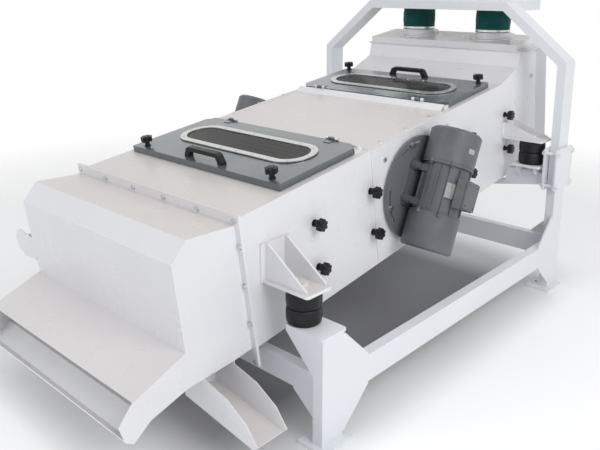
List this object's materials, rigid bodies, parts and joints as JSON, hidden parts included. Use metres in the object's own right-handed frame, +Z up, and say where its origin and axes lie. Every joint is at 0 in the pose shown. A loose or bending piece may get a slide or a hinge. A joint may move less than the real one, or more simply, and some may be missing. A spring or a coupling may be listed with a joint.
{
  "type": "grain separator",
  "caption": "Vibrating sieve separator with window lids, side vibrator motors, sleeved inlets and a front discharge hood on a floor frame.",
  "frame": {"origin": "centre of the bounding box on the floor", "axes": "+Z up, +Y from the outlet towards the inlet, +X towards the right motor"},
  "size_m": [1.656, 2.9002, 1.575],
  "materials": {
    "frame_paint": "satin powder coat",
    "box_paint": "satin powder coat",
    "lid_paint": "semi-gloss paint",
    "plate_paint": "satin paint",
    "motor_paint": "satin paint over castings",
    "spring_rubber": "matt moulded rubber",
    "knob_plastic": "fine matt grain",
    "window": "clear pane",
    "stainless": "brushed stainless steel",
    "zinc_bolt": "zinc plated",
    "sieve_wood": "plain wooden frame with sieve sheet",
    "ball_rubber": "plain rubber",
    "shaft_steel": "turned steel",
    "sleeve_cloth": "dense woven cloth"
  },
  "bodies": {
    "frame": {"side_frame_left": "frame_paint", "side_frame_right": "frame_paint", "rear_portal": "frame_paint", "cross_rails": "frame_paint", "inlet_gantry": "frame_paint", "front_springs": "spring_rubber", "sleeve_bands_upper": "stainless"},
    "rear_support": {"rear_cross_beam": "frame_paint", "post_clamps": "frame_paint", "rear_springs": "spring_rubber"},
    "sieve_box": {"side_plate_left": "box_paint", "side_plate_right": "box_paint", "bottom_pan": "box_paint", "deck_cover": "box_paint", "inlet_hood": "box_paint", "outlet_hood": "box_paint", "outlet_chutes": "box_paint", "spring_brackets": "box_paint", "upper_sieves": "sieve_wood", "lower_sieves": "sieve_wood", "cleaning_balls": "ball_rubber", "box_fasteners": "zinc_bolt", "sleeve_bands_lower": "stainless", "inlet_sleeves": "sleeve_cloth"},
    "front_lid": {"front_lid_tray": "lid_paint", "front_lid_window": "window", "front_lid_ring": "stainless", "front_lid_handle": "knob_plastic"},
    "rear_lid": {"rear_lid_tray": "lid_paint", "rear_lid_window": "window", "rear_lid_ring": "stainless", "rear_lid_handle": "knob_plastic"},
    "motor_right": {"motor_plate_right": "plate_paint", "motor_housing_right": "motor_paint", "motor_covers_right": "motor_paint"},
    "rotor_right": {"motor_rotor_right": "shaft_steel"},
    "motor_left": {"motor_plate_left": "plate_paint", "motor_housing_left": "motor_paint", "motor_covers_left": "motor_paint"},
    "rotor_left": {"motor_rotor_left": "shaft_steel"},
    "front_lid_knob_right": {"front_lid_knob_right": "knob_plastic"},
    "front_lid_knob_left": {"front_lid_knob_left": "knob_plastic"},
    "rear_lid_knob_right": {"rear_lid_knob_right": "knob_plastic"},
    "rear_lid_knob_left": {"rear_lid_knob_left": "knob_plastic"},
    "side_knob_right_1_low": {"side_knob_right_1_low": "knob_plastic"},
    "side_knob_right_1_high": {"side_knob_right_1_high": "knob_plastic"},
    "side_knob_right_2_low": {"side_knob_right_2_low": "knob_plastic"},
    "side_knob_right_2_high": {"side_knob_right_2_high": "knob_plastic"},
    "side_knob_right_3_low": {"side_knob_right_3_low": "knob_plastic"},
    "side_knob_right_3_high": {"side_knob_right_3_high": "knob_plastic"},
    "side_knob_right_4_low": {"side_knob_right_4_low": "knob_plastic"},
    "side_knob_right_4_high": {"side_knob_right_4_high": "knob_plastic"},
    "side_knob_left_1_low": {"side_knob_left_1_low": "knob_plastic"},
    "side_knob_left_1_high": {"side_knob_left_1_high": "knob_plastic"},
    "side_knob_left_2_low": {"side_knob_left_2_low": "knob_plastic"},
    "side_knob_left_2_high": {"side_knob_left_2_high": "knob_plastic"},
    "side_knob_left_3_low": {"side_knob_left_3_low": "knob_plastic"},
    "side_knob_left_3_high": {"side_knob_left_3_high": "knob_plastic"},
    "side_knob_left_4_low": {"side_knob_left_4_low": "knob_plastic"},
    "side_knob_left_4_high": {"side_knob_left_4_high": "knob_plastic"}
  },
  "joints": [
    {"name": "deck_slope", "type": "hinge", "parent": "frame", "child": "rear_support", "pos_m": [0, -0.76485, 0.668], "axis": [1, 0, 0], "range_deg": [-1.5, 1.5], "deforming": ["front_springs", "inlet_sleeves"]},
    {"name": "stroke", "type": "slide", "parent": "rear_support", "child": "sieve_box", "axis": [0, -0.9092, 0.4163], "range_m": [-0.006, 0.006], "stiffness_N_per_m": 200000, "springref_m": 0.01458, "deforming": ["rear_springs"]},
    {"name": "front_lid_hinge", "type": "hinge", "parent": "sieve_box", "child": "front_lid", "pos_m": [0, -0.2322, 0.96761], "axis": [-1, 0, 0], "range_deg": [0, 100]},
    {"name": "rear_lid_hinge", "type": "hinge", "parent": "sieve_box", "child": "rear_lid", "pos_m": [0, 0.4161, 1.06103], "axis": [1, 0, 0], "range_deg": [0, 100]},
    {"name": "motor_turn_right", "type": "hinge", "parent": "sieve_box", "child": "motor_right", "pos_m": [0.508, 0.13623, 0.71053], "axis": [1, 0, 0], "range_deg": [-20, 20]},
    {"name": "rotor_spin_right", "type": "hinge", "parent": "motor_right", "child": "rotor_right", "pos_m": [0.64, 0.1423, 0.71747], "axis": [0, 0.4163, 0.9092], "continuous": true},
    {"name": "motor_turn_left", "type": "hinge", "parent": "sieve_box", "child": "motor_left", "pos_m": [-0.508, 0.13623, 0.71053], "axis": [1, 0, 0], "range_deg": [-20, 20]},
    {"name": "rotor_spin_left", "type": "hinge", "parent": "motor_left", "child": "rotor_left", "pos_m": [-0.64, 0.1423, 0.71747], "axis": [0, 0.4163, 0.9092], "continuous": true},
    {"name": "front_lid_knob_right_turn", "type": "hinge", "parent": "front_lid", "child": "front_lid_knob_right", "pos_m": [0.4, -0.67364, 0.89692], "axis": [0, -0.1426, 0.9898], "continuous": true},
    {"name": "front_lid_knob_left_turn", "type": "hinge", "parent": "front_lid", "child": "front_lid_knob_left", "pos_m": [-0.4, -0.67364, 0.89692], "axis": [0, -0.1426, 0.9898], "continuous": true},
    {"name": "rear_lid_knob_right_turn", "type": "hinge", "parent": "rear_lid", "child": "rear_lid_knob_right", "pos_m": [0.43, 0.80608, 1.11015], "axis": [0, -0.1426, 0.9898], "continuous": true},
    {"name": "rear_lid_knob_left_turn", "type": "hinge", "parent": "rear_lid", "child": "rear_lid_knob_left", "pos_m": [-0.43, 0.80608, 1.11015], "axis": [0, -0.1426, 0.9898], "continuous": true},
    {"name": "side_knob_right_1_low_turn", "type": "hinge", "parent": "sieve_box", "child": "side_knob_right_1_low", "pos_m": [0.5, -0.51832, 0.52023], "axis": [1, 0, 0], "continuous": true},
    {"name": "side_knob_right_1_high_turn", "type": "hinge", "parent": "sieve_box", "child": "side_knob_right_1_high", "pos_m": [0.5, -0.54556, 0.70927], "axis": [1, 0, 0], "continuous": true},
    {"name": "side_knob_right_2_low_turn", "type": "hinge", "parent": "sieve_box", "child": "side_knob_right_2_low", "pos_m": [0.5, -0.16497, 0.57114], "axis": [1, 0, 0], "continuous": true},
    {"name": "side_knob_right_2_high_turn", "type": "hinge", "parent": "sieve_box", "child": "side_knob_right_2_high", "pos_m": [0.5, -0.19221, 0.76019], "axis": [1, 0, 0], "continuous": true},
    {"name": "side_knob_right_3_low_turn", "type": "hinge", "parent": "sieve_box", "child": "side_knob_right_3_low", "pos_m": [0.5, 0.61497, 0.68354], "axis": [1, 0, 0], "continuous": true},
    {"name": "side_knob_right_3_high_turn", "type": "hinge", "parent": "sieve_box", "child": "side_knob_right_3_high", "pos_m": [0.5, 0.58773, 0.87258], "axis": [1, 0, 0], "continuous": true},
    {"name": "side_knob_right_4_low_turn", "type": "hinge", "parent": "sieve_box", "child": "side_knob_right_4_low", "pos_m": [0.5, 1.0089, 0.7403], "axis": [1, 0, 0], "continuous": true},
    {"name": "side_knob_right_4_high_turn", "type": "hinge", "parent": "sieve_box", "child": "side_knob_right_4_high", "pos_m": [0.5, 0.98166, 0.92935], "axis": [1, 0, 0], "continuous": true},
    {"name": "side_knob_left_1_low_turn", "type": "hinge", "parent": "sieve_box", "child": "side_knob_left_1_low", "pos_m": [-0.5, -0.51832, 0.52023], "axis": [-1, 0, 0], "continuous": true},
    {"name": "side_knob_left_1_high_turn", "type": "hinge", "parent": "sieve_box", "child": "side_knob_left_1_high", "pos_m": [-0.5, -0.54556, 0.70927], "axis": [-1, 0, 0], "continuous": true},
    {"name": "side_knob_left_2_low_turn", "type": "hinge", "parent": "sieve_box", "child": "side_knob_left_2_low", "pos_m": [-0.5, -0.16497, 0.57114], "axis": [-1, 0, 0], "continuous": true},
    {"name": "side_knob_left_2_high_turn", "type": "hinge", "parent": "sieve_box", "child": "side_knob_left_2_high", "pos_m": [-0.5, -0.19221, 0.76019], "axis": [-1, 0, 0], "continuous": true},
    {"name": "side_knob_left_3_low_turn", "type": "hinge", "parent": "sieve_box", "child": "side_knob_left_3_low", "pos_m": [-0.5, 0.61497, 0.68354], "axis": [-1, 0, 0], "continuous": true},
    {"name": "side_knob_left_3_high_turn", "type": "hinge", "parent": "sieve_box", "child": "side_knob_left_3_high", "pos_m": [-0.5, 0.58773, 0.87258], "axis": [-1, 0, 0], "continuous": true},
    {"name": "side_knob_left_4_low_turn", "type": "hinge", "parent": "sieve_box", "child": "side_knob_left_4_low", "pos_m": [-0.5, 1.0089, 0.7403], "axis": [-1, 0, 0], "continuous": true},
    {"name": "side_knob_left_4_high_turn", "type": "hinge", "parent": "sieve_box", "child": "side_knob_left_4_high", "pos_m": [-0.5, 0.98166, 0.92935], "axis": [-1, 0, 0], "continuous": true}
  ],
  "couplings": [
    {"joint": "rotor_spin_left", "follows": "rotor_spin_right", "ratio": -1}
  ]
}
